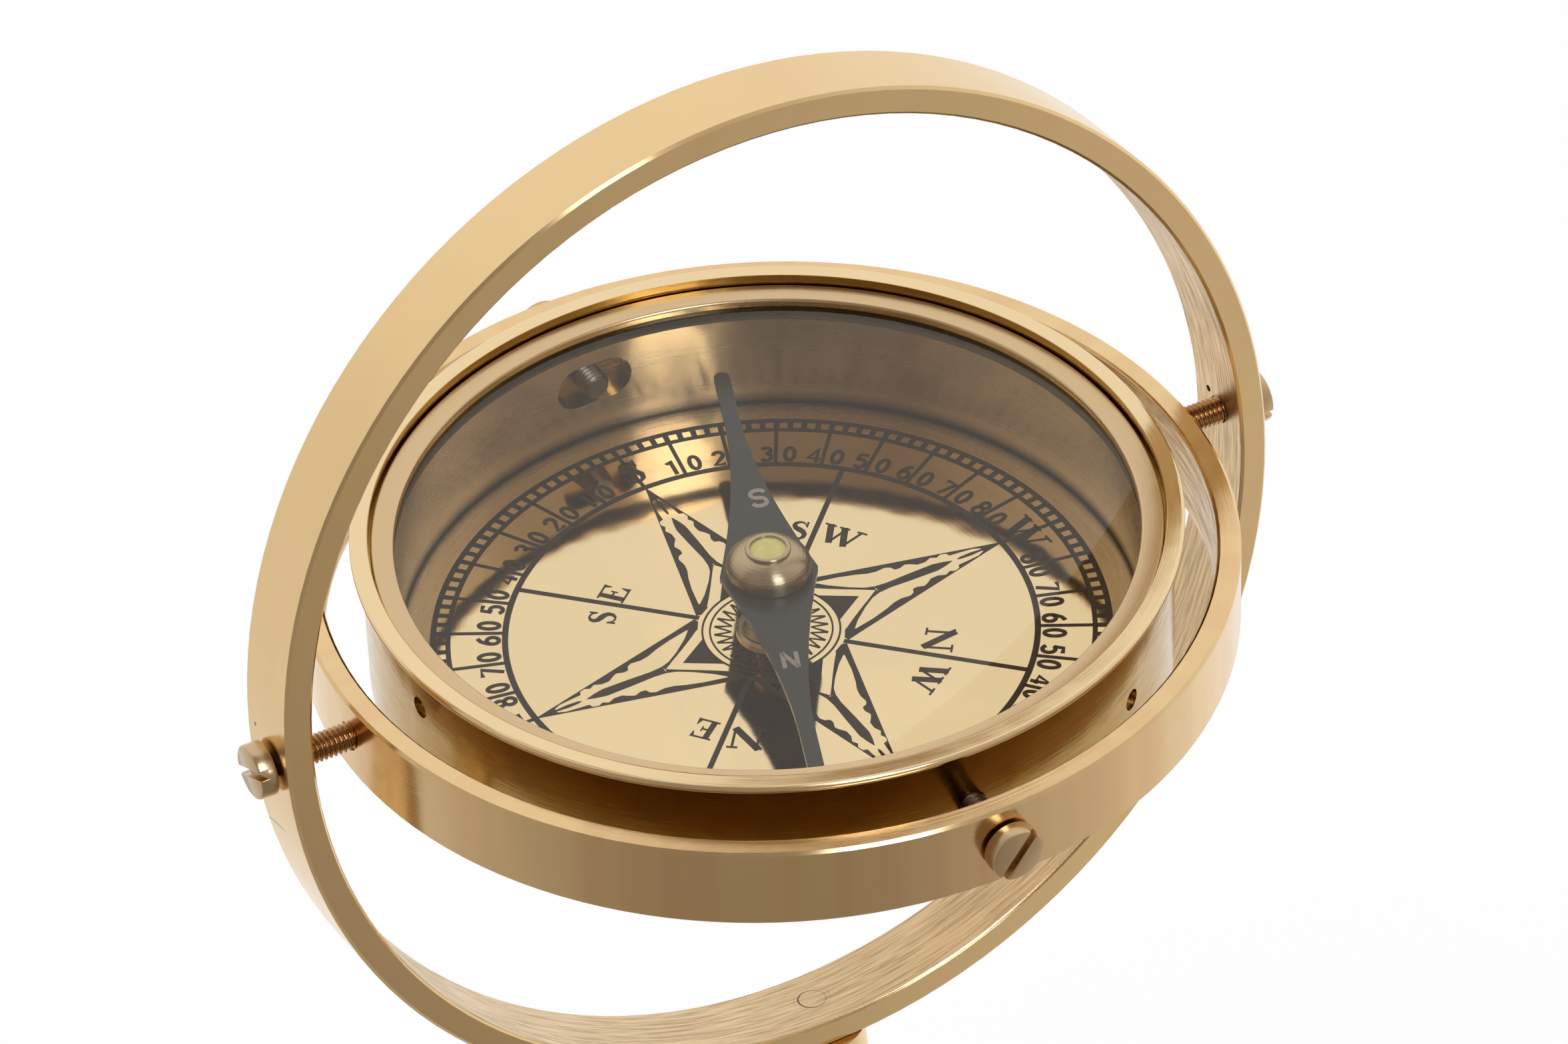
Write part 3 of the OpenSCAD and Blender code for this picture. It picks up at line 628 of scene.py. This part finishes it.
# Letters between the star's arms: height, radius and angle of each
PAIRED = (("S", 3.8, 23.2, 142.5), ("E", 3.8, 23.1, 129.5), ("S", 3.9, 21.6, 50.7), ("W", 3.8, 21.9, 35.0),
          ("N", 4.1, 22.9, 323.2), ("W", 3.8, 23.8, 303.4), ("N", 4.1, 23.0, 232.6), ("E", 3.8, 22.4, 217.7))

shapes = []


def polar(radius, degrees):
    return (radius * cos(radians(degrees)), radius * sin(radians(degrees)))


def arc_band(inner, outer, start=0.0, end=360.0, step=1.0):
    """Quads between two radii from one angle to another."""
    count = max(1, round((end - start) / step))
    for i in range(count):
        a, b = start + (end - start) * i / count, start + (end - start) * (i + 1) / count
        shapes.append([polar(inner, a), polar(outer, a), polar(outer, b), polar(inner, b)])


def stroke(points, widths, put=lambda p: p):
    """Quads along a line whose width changes from point to point."""
    if not isinstance(widths, (list, tuple)):
        widths = [widths] * len(points)
    sides = []
    for i, (x, y) in enumerate(points):
        ax, ay = points[max(i - 1, 0)]
        bx, by = points[min(i + 1, len(points) - 1)]
        length = ((bx - ax) ** 2 + (by - ay) ** 2) ** 0.5
        nx, ny = -(by - ay) / length * widths[i] / 2, (bx - ax) / length * widths[i] / 2
        sides.append((put((x + nx, y + ny)), put((x - nx, y - ny))))
    for (a, b), (c, d) in zip(sides, sides[1:]):
        shapes.append([a, b, d, c])


def on_arm(degrees, side):
    """Turns places along a star arm to its angle, and mirrors them to its other half for side -1."""
    turn_x, turn_y = cos(radians(degrees)), sin(radians(degrees))
    return lambda p: (p[0] * turn_x - p[1] * side * turn_y, p[0] * turn_y + p[1] * side * turn_x)


def patch(points, put):
    shapes.append([put(p) for p in points])


def strip(edge_a, edge_b, put):
    """Fills between two edges that have as many points as each other."""
    for (a, b), (c, d) in zip(zip(edge_a, edge_b), zip(edge_a[1:], edge_b[1:])):
        shapes.append([put(a), put(b), put(d), put(c)])


# Half of a star arm, each point a distance from the centre and an offset from the arm's middle line
ARM_SLOPE = 0.258
TIP_LOW = 33.0
WAVY_EDGE = [(TIP_LOW, 0.42), (32.0, 0.90), (30.2, 1.10), (28.6, 1.25), (28.4, 1.85), (27.6, 2.10),
             (26.9, 1.75), (26.1, 2.20), (25.1, 1.76), (23.9, 1.82), (23.1, 2.40), (22.4, 2.75),
             (21.4, 2.40), (20.7, 2.50), (20.4, 3.20), (19.7, 3.57), (18.3, 3.44), (17.0, 3.70),
             (15.5, 4.35), (13.1, 5.13), (9.9, 5.85)]
RIB_EDGE = [(28.3, 0.02), (27.1, 0.41), (25.6, 0.73), (21.9, 0.67), (18.3, 0.54), (16.5, 0.70)]
FORK_OUTER = [(16.5, 0.70), (15.2, 1.15), (13.4, 2.35), (11.1, 4.25), (9.7, 5.75)]
FORK_INNER = [(16.3, 0.0), (14.6, 1.15), (12.6, 2.45), (10.4, 3.95), (8.7, 5.2)]
LENS_EDGE = [(TIP_LOW, 0.12), (31.2, 0.27), (29.6, 0.18), (29.1, 0.0)]
TIP = [(CIRCLE_R, 0.0), (TIP_LOW, (CIRCLE_R - TIP_LOW) * ARM_SLOPE), (TIP_LOW, 0.0)]
HOOK = [(9.95, 6.75), (9.9, 5.85), (8.6, 5.1), (7.7, 6.6), (7.9, 7.3)]
WEDGE = [(13.6, 0.0), (9.05, 2.95), (9.5, 0.0)]


def star_arm(degrees):
    for side in (1, -1):
        put = on_arm(degrees, side)
        strip([(r, (CIRCLE_R - r) * ARM_SLOPE) for r, _ in WAVY_EDGE], WAVY_EDGE, put)
        strip(RIB_EDGE, [(r, 0.0) for r, _ in RIB_EDGE], put)
        strip(FORK_OUTER, FORK_INNER, put)
        strip(LENS_EDGE, [(r, 0.0) for r, _ in LENS_EDGE], put)
        patch(TIP, put)
        patch(HOOK, put)
        patch(WEDGE, put)


def petals():
    """The zigzag inside the small circle."""
    step = 360 / PETALS
    for i in range(PETALS):
        low, tip = polar(PETAL_LOW, step * i), polar(PETAL_TIP, step * i + PETAL_LEAN)
        next_low = polar(PETAL_LOW, step * i + step)
        stroke([low, tip], [PETAL_LOW_W, PETAL_TIP_W])
        stroke([tip, next_low], [PETAL_TIP_W, PETAL_LOW_W])


# Letters with serifs, one unit high from the base line: strokes as points and widths
LETTERS = {
    "N": (1.15, [([(0.17, 0.0), (0.17, 1.0)], 0.085), ([(0.10, 1.0), (1.0, 0.0)], 0.25),
                 ([(0.99, 0.0), (0.99, 1.0)], 0.085), ([(0.0, 0.965), (0.28, 0.965)], 0.075),
                 ([(0.0, 0.035), (0.35, 0.035)], 0.075), ([(0.80, 0.965), (1.17, 0.965)], 0.075)]),
    "E": (0.78, [([(0.20, 0.0), (0.20, 1.0)], 0.21), ([(0.0, 0.965), (0.70, 0.965)], 0.07),
                 ([(0.70, 1.0), (0.73, 0.70)], [0.16, 0.02]), ([(0.2, 0.51), (0.5, 0.51)], 0.07),
                 ([(0.5, 0.64), (0.5, 0.38)], [0.05, 0.05]), ([(0.0, 0.035), (0.74, 0.035)], 0.07),
                 ([(0.72, 0.0), (0.77, 0.33)], [0.18, 0.02])]),
    "W": (1.66, [([(0.21, 1.0), (0.56, 0.0)], 0.25), ([(0.54, 0.02), (0.85, 0.95)], 0.09),
                 ([(0.76, 1.0), (1.13, 0.0)], 0.25), ([(1.11, 0.02), (1.46, 1.0)], 0.09),
                 ([(0.0, 0.965), (0.44, 0.965)], 0.075), ([(0.58, 0.965), (0.98, 0.965)], 0.075),
                 ([(1.27, 0.965), (1.66, 0.965)], 0.075)]),
    "S": (0.64, [([(0.55, 0.74), (0.50, 0.88), (0.40, 0.96), (0.28, 0.97), (0.15, 0.90), (0.11, 0.77),
                   (0.17, 0.65), (0.32, 0.55), (0.46, 0.45), (0.54, 0.31), (0.51, 0.14), (0.40, 0.05),
                   (0.27, 0.03), (0.14, 0.11), (0.08, 0.27)],
                  [0.03, 0.05, 0.07, 0.09, 0.14, 0.17, 0.20, 0.23, 0.21, 0.18, 0.15, 0.10, 0.07, 0.05, 0.03]),
                 ([(0.57, 1.0), (0.57, 0.70)], [0.08, 0.04]), ([(0.06, 0.0), (0.06, 0.32)], [0.08, 0.04])]),
}


def on_card(width, height, radius, degrees):
    """Puts a sign of unit height on the card with its top outwards, centred on a radius and an angle."""
    centre_x, centre_y = polar(radius, degrees)
    up_x, up_y = cos(radians(degrees)), sin(radians(degrees))

    def put(p):
        across, up = (p[0] - width / 2) * height, (p[1] - 0.5) * height
        return (centre_x + up_x * up + up_y * across, centre_y + up_y * up - up_x * across)
    return put


def letter(name, height, radius, degrees):
    width, strokes = LETTERS[name]
    for points, widths in strokes:
        stroke(points, widths, on_card(width, height, radius, degrees))


def oval(x, y, rx, ry, start=0, end=360, steps=20):
    return [(x + rx * cos(radians(start + (end - start) * i / steps)),
             y + ry * sin(radians(start + (end - start) * i / steps))) for i in range(steps + 1)]


# Plain figures, one unit high
FIGURE_W = 0.6
FIGURE_BOLD = 0.19
FIGURES = {
    "0": [oval(0.3, 0.5, 0.21, 0.44)],
    "1": [[(0.12, 0.80), (0.34, 0.98), (0.34, 0.0)]],
    "2": [oval(0.3, 0.71, 0.21, 0.23, 170, -35, 12) + [(0.08, 0.06), (0.54, 0.06)]],
    "3": [oval(0.28, 0.74, 0.20, 0.20, 150, -90, 12) + oval(0.28, 0.29, 0.23, 0.24, 90, -150, 12)],
    "4": [[(0.42, 0.0), (0.42, 0.96), (0.06, 0.27), (0.56, 0.27)]],
    "5": [[(0.50, 0.94), (0.16, 0.94), (0.12, 0.52)] + oval(0.29, 0.33, 0.23, 0.28, 130, -150, 14)],
    "6": [[(0.46, 0.95), (0.25, 0.80), (0.09, 0.45)] + oval(0.3, 0.30, 0.22, 0.26, 160, 520, 18)],
    "7": [[(0.06, 0.94), (0.54, 0.94), (0.22, 0.0)]],
    "8": [oval(0.3, 0.73, 0.18, 0.21, -90, 270, 16), oval(0.3, 0.28, 0.22, 0.24, 90, 450, 18)],
}


def figure(name, height, radius, degrees):
    for points in FIGURES[name]:
        stroke(points, FIGURE_BOLD, on_card(FIGURE_W, height, radius, degrees))


def print_card():
    arc_band(CIRCLE_R - CIRCLE_W / 2, CIRCLE_R + CIRCLE_W / 2)
    arc_band(TRACK_IN, WINDOW_IN)
    arc_band(WINDOW_OUT, TRACK_OUT)
    opening = WINDOW_W / (WINDOW_IN + WINDOW_OUT) * 360 / pi
    half = (WINDOW_STEP - opening) / 2
    for i in range(round(360 / WINDOW_STEP)):
        middle = WINDOW_STEP * i
        arc_band(WINDOW_IN, WINDOW_OUT, middle - half, middle + half)
    for degrees in range(0, 360, 10):
        stroke([polar(CIRCLE_R, degrees), polar(TRACK_IN + SPOKE_OVERLAP, degrees)], SPOKE_W)
    for degrees in range(45, 360, 90):
        stroke([polar(NOTCH_R - DIAGONAL_OVERLAP, degrees), polar(CIRCLE_R, degrees)], DIAGONAL_W)
    for degrees in range(0, 360, 90):
        star_arm(degrees)
    arc_band(SUN_OUT - SUN_LINE_W, SUN_OUT)
    arc_band(SUN_INNER_IN, SUN_INNER_OUT)
    petals()
    for degrees in range(10, 90, 10):
        for start, sense, shift in NUMBER_RUNS:
            angle = start + sense * degrees + shift
            figure(str(degrees // 10), NUMBER_H, NUMBER_R, angle + NUMBER_SPLIT)
            figure("0", NUMBER_H, NUMBER_R, angle - NUMBER_SPLIT)
    for name, height, degrees in CARDINALS:
        letter(name, height, CARDINAL_R, degrees)
    for name, height, radius, degrees in PAIRED:
        letter(name, height, radius, degrees)


# Points that agree to this many digits are one point
WELD_DIGITS = 4


def sides_of(outline):
    return list(zip(outline, outline[1:] + outline[:1]))


def print_mesh():
    """Raises every printed shape by the ink's thickness, with no wall where two shapes share a side."""
    outlines = []
    for shape in shapes:
        spots = [(round(x, WELD_DIGITS), round(y, WELD_DIGITS)) for x, y in shape]
        outline = [a for a, b in sides_of(spots) if a != b]
        area = sum(a[0] * b[1] - b[0] * a[1] for a, b in sides_of(outline))
        if len(outline) > 2 and area:
            outlines.append(outline if area > 0 else outline[::-1])
    walls = dict.fromkeys(side for outline in outlines for side in sides_of(outline))
    places = {spot: i for i, spot in enumerate(dict.fromkeys(p for outline in outlines for p in outline))}
    count = len(places)
    points = [(x, y, z) for z in (DIAL_Z, DIAL_Z + PRINT_T) for x, y in places]
    faces = []
    for outline in outlines:
        base = [places[spot] for spot in outline]
        faces.append(tuple(reversed(base)))
        faces.append(tuple(i + count for i in base))
    for a, b in walls:
        if (b, a) not in walls:
            faces.append((places[a], places[b], places[b] + count, places[a] + count))
    return points, faces


print_card()
card_print = add_mesh("card_print", *print_mesh(), BOWL, print_ink, "bowl")
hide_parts("dial_inlay")


# The ring that holds the glass, its face leaning inwards, in millimetres of the bowl's place
BEZEL_IN = 50.1
BEZEL_OUT = 53.25
BEZEL_LOW = 8.0
BEZEL_TOP = 9.4
BEZEL_OUTER_EDGE = 0.3
BEZEL_INNER_EDGE = 0.45
# Which way the face looks, in degrees: 90 is straight up, and more leans inwards
BEZEL_LOOKS = 97.0


def bezel_outline():
    """Anticlockwise radii and heights: the face is the line that touches both rounded edges."""
    across = BEZEL_OUT - BEZEL_OUTER_EDGE - BEZEL_IN - BEZEL_INNER_EDGE
    outer_z = BEZEL_TOP - BEZEL_OUTER_EDGE
    drop = BEZEL_INNER_EDGE - BEZEL_OUTER_EDGE - across * cos(radians(BEZEL_LOOKS))
    inner_z = outer_z - drop / sin(radians(BEZEL_LOOKS))
    outer_edge = oval(BEZEL_OUT - BEZEL_OUTER_EDGE, outer_z, BEZEL_OUTER_EDGE, BEZEL_OUTER_EDGE,
                      start=0, end=BEZEL_LOOKS, steps=6)
    inner_edge = oval(BEZEL_IN + BEZEL_INNER_EDGE, inner_z, BEZEL_INNER_EDGE, BEZEL_INNER_EDGE,
                      start=BEZEL_LOOKS, end=180, steps=6)
    return [(BEZEL_IN, BEZEL_LOW), (BEZEL_OUT, BEZEL_LOW)] + outer_edge + inner_edge


def turned_about_z(outline, steps=240):
    """Points and faces of an anticlockwise outline of radii and heights turned about Z."""
    count = len(outline)
    points = [(r * cos(2 * pi * i / steps), r * sin(2 * pi * i / steps), z)
              for i in range(steps) for r, z in outline]
    faces = [(i * count + j, (i + 1) % steps * count + j, (i + 1) % steps * count + (j + 1) % count,
              i * count + (j + 1) % count) for i in range(steps) for j in range(count)]
    return points, faces


bezel_ring = add_mesh("bezel_ring", *turned_about_z(bezel_outline()), BOWL, bezel_brass, "bowl")
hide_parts("bezel")


# Painted letters on the needle, their tops towards its south end
def needle_letter(name, strokes, bold, width, height, along, across):
    shapes.clear()
    for points in strokes:
        stroke(points, bold, lambda p: ((p[1] - 0.5) * height + along, (0.5 - p[0]) * width + across))
    points, faces = print_mesh()
    points = [(x, y, z - DIAL_Z + NEEDLE_TOP) for x, y, z in points]
    piece = add_mesh("needle_letter_" + name, points, faces, NEEDLE, letter_paint, "needle")


needle_letter("S", [oval(0.5, 0.74, 0.38, 0.24, 20, 250, 12) + oval(0.5, 0.27, 0.38, 0.25, 80, -160, 12)],
              bold=0.22, width=2.7, height=3.6, along=16.0, across=-1.0)
needle_letter("N", [[(0.1, 0.0), (0.1, 1.0)], [(0.1, 1.0), (0.9, 0.0)], [(0.9, 0.0), (0.9, 1.0)]],
              bold=0.26, width=2.3, height=3.2, along=-18.9, across=0.0)


# Floor, world and lamps
# What polished brass mirrors: pale behind and to the right, darker from the front left, and a bright window
DARK_WAY = radians(-125)
DARK_COS = 0.94
PALE_COS = -0.62
DARK_LEVEL = 0.33
DARK_TINT = (1.0, 0.86, 0.70, 1.0)
PALE_TINT = (1.0, 0.99, 0.97, 1.0)
WHITE = (1, 1, 1, 1)
# The window: the way to it, the cosines of its soft sides, how bright it is, and its soft foot and top
SKYLIGHT_WAY = radians(-90.5)
SKYLIGHT_COS = (0.978, 0.984)
SKYLIGHT_LEVEL = 4.8
SKYLIGHT_RISE = (0.15, 0.3)
SKYLIGHT_FALL = (0.9, 0.75)
SKYLIGHT_TINT = (0.90, 1.0, 1.2, 1.0)
# Half the floor's width in metres, and how white the camera sees it
FLOOR_HALF = 4.0
FLOOR_WHITE = 0.95
# How bright the world is to all that doesn't mirror it
WORLD_LIGHT = 0.55


def toward(tree, vector, way):
    """Cosine between the level part of a vector and a compass way."""
    x, y, _ = node(tree, "SeparateXYZ", {0: vector}).outputs
    reach = calc(tree, "ADD", calc(tree, "MULTIPLY", x, cos(way)), calc(tree, "MULTIPLY", y, sin(way)))
    return calc(tree, "DIVIDE", reach, calc(tree, "MAXIMUM", radius_of(tree, x, y), 1e-4))


def surroundings(tree, facing):
    """How bright the room is in a direction with this cosine to the dark way."""
    return remap(tree, facing, DARK_COS, PALE_COS, DARK_LEVEL, 1.0)


def tint_of(tree, level):
    return mix(tree, level, DARK_TINT, PALE_TINT)


def make_floor():
    material, tree = new_material("pale_floor")
    coords = node(tree, "TexCoord").outputs["Object"]
    path = node(tree, "LightPath")
    diffuse = node(tree, "BsdfDiffuse", {"Color": (0.86, 0.86, 0.86, 1)})
    white = node(tree, "Emission", {"Color": WHITE, "Strength": 1.0})
    level = surroundings(tree, toward(tree, coords, DARK_WAY))
    shade = node(tree, "Emission", {"Color": tint_of(tree, level), "Strength": level})
    seen = calc(tree, "MAXIMUM", path.outputs["Is Camera Ray"], path.outputs["Is Transmission Ray"])
    lit = node(tree, "MixShader", {0: calc(tree, "MULTIPLY", seen, FLOOR_WHITE), 1: diffuse.outputs[0],
                                   2: white.outputs[0]})
    both = node(tree, "MixShader", {0: path.outputs["Is Glossy Ray"], 1: lit.outputs[0], 2: shade.outputs[0]})
    finish_material(tree, both)
    mesh = bpy.data.meshes.new("floor")
    outline = [(x * FLOOR_HALF, y * FLOOR_HALF, 0) for x, y in ((-1, -1), (1, -1), (1, 1), (-1, 1))]
    mesh.from_pydata(outline, [], [(0, 1, 2, 3)])
    mesh.materials.append(material)
    floor = bpy.data.objects.new("floor", mesh)
    bpy.context.scene.collection.objects.link(floor)


def make_world():
    world = bpy.data.worlds.new("studio")
    bpy.context.scene.world = world
    world.use_nodes = True
    tree = world.node_tree
    tree.nodes.clear()
    direction = node(tree, "TexCoord").outputs["Generated"]
    height = node(tree, "SeparateXYZ", {0: direction}).outputs[2]
    path = node(tree, "LightPath")
    level = surroundings(tree, toward(tree, direction, DARK_WAY))
    rise = calc(tree, "MULTIPLY", remap(tree, height, *SKYLIGHT_RISE, 0.0, 1.0),
                remap(tree, height, *SKYLIGHT_FALL, 0.0, 1.0))
    across = remap(tree, toward(tree, direction, SKYLIGHT_WAY), *SKYLIGHT_COS, 0.0, 1.0)
    skylight = calc(tree, "MULTIPLY", across, rise)
    tint = mix(tree, skylight, tint_of(tree, level), SKYLIGHT_TINT)
    level = calc(tree, "MAXIMUM", level, calc(tree, "MULTIPLY", skylight, SKYLIGHT_LEVEL))
    light = node(tree, "Background", {"Color": WHITE, "Strength": WORLD_LIGHT})
    gloss = node(tree, "Background", {"Color": tint, "Strength": level})
    white = node(tree, "Background", {"Color": WHITE, "Strength": 1.0})
    seen = calc(tree, "MAXIMUM", path.outputs["Is Camera Ray"], path.outputs["Is Transmission Ray"])
    first = node(tree, "MixShader", {0: path.outputs["Is Glossy Ray"], 1: light.outputs[0],
                                     2: gloss.outputs[0]})
    second = node(tree, "MixShader", {0: seen, 1: first.outputs[0], 2: white.outputs[0]})
    node(tree, "OutputWorld", {"Surface": second.outputs[0]})


def area_lamp(name, place, target, size, power):
    lamp = bpy.data.lights.new(name, "AREA")
    lamp.shape = "DISK"
    lamp.size = size
    lamp.energy = power
    made = bpy.data.objects.new(name, lamp)
    made.location = place
    made.rotation_euler = (Vector(target) - Vector(place)).to_track_quat("-Z", "Y").to_euler()
    made.visible_glossy = False
    bpy.context.scene.collection.objects.link(made)


# The camera, as the photograph was taken: angles in degrees, the gimbal's centre seen at a pixel of the frame
FRAME_W = 2354
FRAME_H = 1568
CAMERA_AZ = -25.515
CAMERA_EL = 33.582
CAMERA_ROLL = -5.810
CAMERA_DISTANCE = 1.05139
CAMERA_LENS = 179.15
SENSOR = 36.0
CENTRE_PX = (1154.75, 867.99)


def make_camera():
    az, el, roll = radians(CAMERA_AZ), radians(CAMERA_EL), radians(CAMERA_ROLL)
    back = Vector((sin(az) * cos(el), -cos(az) * cos(el), sin(el)))
    level = Vector((cos(az), sin(az), 0))
    upright = back.cross(level)
    right = level * cos(roll) + upright * sin(roll)
    up = back.cross(right)
    looking = Matrix((right, up, back)).transposed()
    per_px = SENSOR / CAMERA_LENS / FRAME_W
    aim = Vector(((CENTRE_PX[0] - FRAME_W / 2) * per_px, (FRAME_H / 2 - CENTRE_PX[1]) * per_px, -1))
    off_centre = Vector((0, 0, -1)).rotation_difference(aim).to_matrix()
    data = bpy.data.cameras.new("photo_camera")
    data.lens = CAMERA_LENS
    data.sensor_width = SENSOR
    data.clip_start = 0.05
    camera = bpy.data.objects.new("photo_camera", data)
    rotation = looking @ off_centre.transposed()
    camera.matrix_world = Matrix.Translation(CENTRE + back * CAMERA_DISTANCE) @ rotation.to_4x4()
    bpy.context.scene.collection.objects.link(camera)
    bpy.context.scene.camera = camera


make_floor()
make_world()
area_lamp("key_lamp", (-0.6, 0.3, 1.3), CENTRE, size=0.9, power=9.0)
area_lamp("fill_lamp", (0.9, -0.5, 0.9), CENTRE, size=0.9, power=4.0)
make_camera()
bpy.context.scene.view_settings.view_transform = "Standard"
